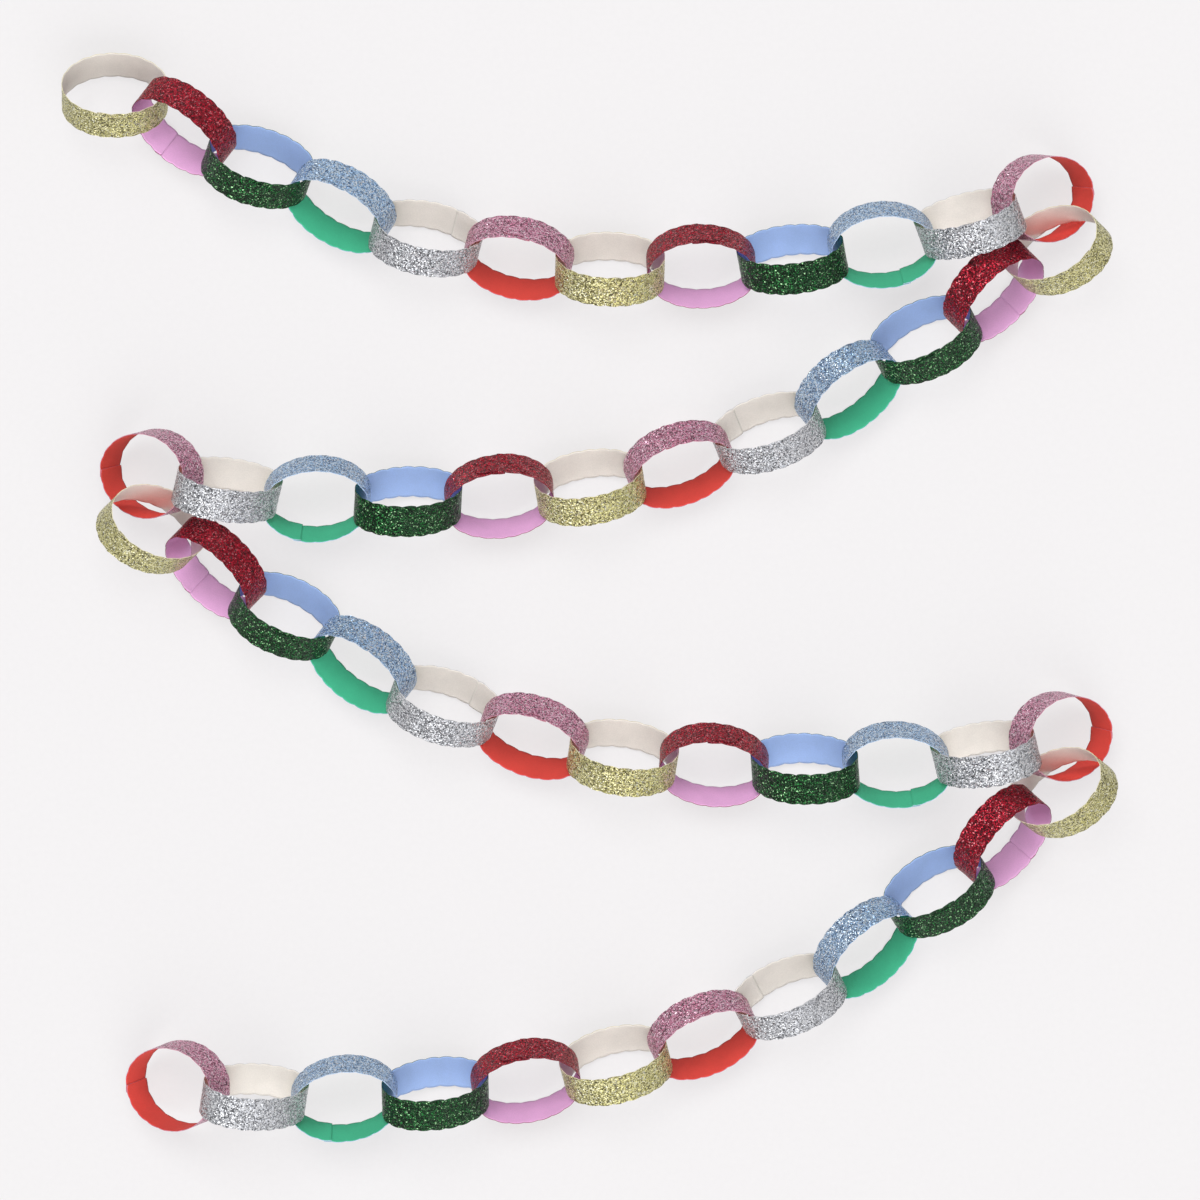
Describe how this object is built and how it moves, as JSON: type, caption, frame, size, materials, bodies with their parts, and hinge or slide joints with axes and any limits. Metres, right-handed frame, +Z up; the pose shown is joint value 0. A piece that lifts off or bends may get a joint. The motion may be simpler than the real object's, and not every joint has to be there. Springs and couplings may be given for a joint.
{
  "type": "paper chain garland",
  "caption": "Decorative chain of interlocked card rings, each a scalloped glitter strip lapped and glued into a loop, laid out in a zigzag of rows.",
  "frame": {"origin": "middle of the garland's footprint, on the surface it lies on", "axes": "+Z up from the surface, +Y from the last row of links to the first, +X along the first row from the free end"},
  "size_m": [0.6498, 0.671, 0.0658],
  "materials": {
    "glitter_gold": "glitter outside, plain cream inside",
    "glitter_red": "glitter outside, plain lilac inside",
    "glitter_green": "glitter outside, plain periwinkle blue inside",
    "glitter_blue": "glitter outside, plain mint green inside",
    "glitter_silver": "glitter outside, plain cream inside",
    "glitter_pink": "glitter outside, plain coral red inside"
  },
  "bodies": {
    "root": {"link_01_gold": "glitter_gold", "link_02_red": "glitter_red", "link_03_green": "glitter_green", "link_04_blue": "glitter_blue", "link_05_silver": "glitter_silver", "link_06_pink": "glitter_pink", "link_07_gold": "glitter_gold", "link_08_red": "glitter_red", "link_09_green": "glitter_green", "link_10_blue": "glitter_blue", "link_11_silver": "glitter_silver", "link_12_pink": "glitter_pink", "link_13_gold": "glitter_gold", "link_14_red": "glitter_red", "link_15_green": "glitter_green", "link_16_blue": "glitter_blue", "link_17_silver": "glitter_silver", "link_18_pink": "glitter_pink", "link_19_gold": "glitter_gold", "link_20_red": "glitter_red", "link_21_green": "glitter_green", "link_22_blue": "glitter_blue", "link_23_silver": "glitter_silver", "link_24_pink": "glitter_pink", "link_25_gold": "glitter_gold", "link_26_red": "glitter_red", "link_27_green": "glitter_green", "link_28_blue": "glitter_blue", "link_29_silver": "glitter_silver", "link_30_pink": "glitter_pink", "link_31_gold": "glitter_gold", "link_32_red": "glitter_red", "link_33_green": "glitter_green", "link_34_blue": "glitter_blue", "link_35_silver": "glitter_silver", "link_36_pink": "glitter_pink", "link_37_gold": "glitter_gold", "link_38_red": "glitter_red", "link_39_green": "glitter_green", "link_40_blue": "glitter_blue", "link_41_silver": "glitter_silver", "link_42_pink": "glitter_pink", "link_43_gold": "glitter_gold", "link_44_red": "glitter_red", "link_45_green": "glitter_green", "link_46_blue": "glitter_blue", "link_47_silver": "glitter_silver", "link_48_pink": "glitter_pink"}
  },
  "joints": []
}
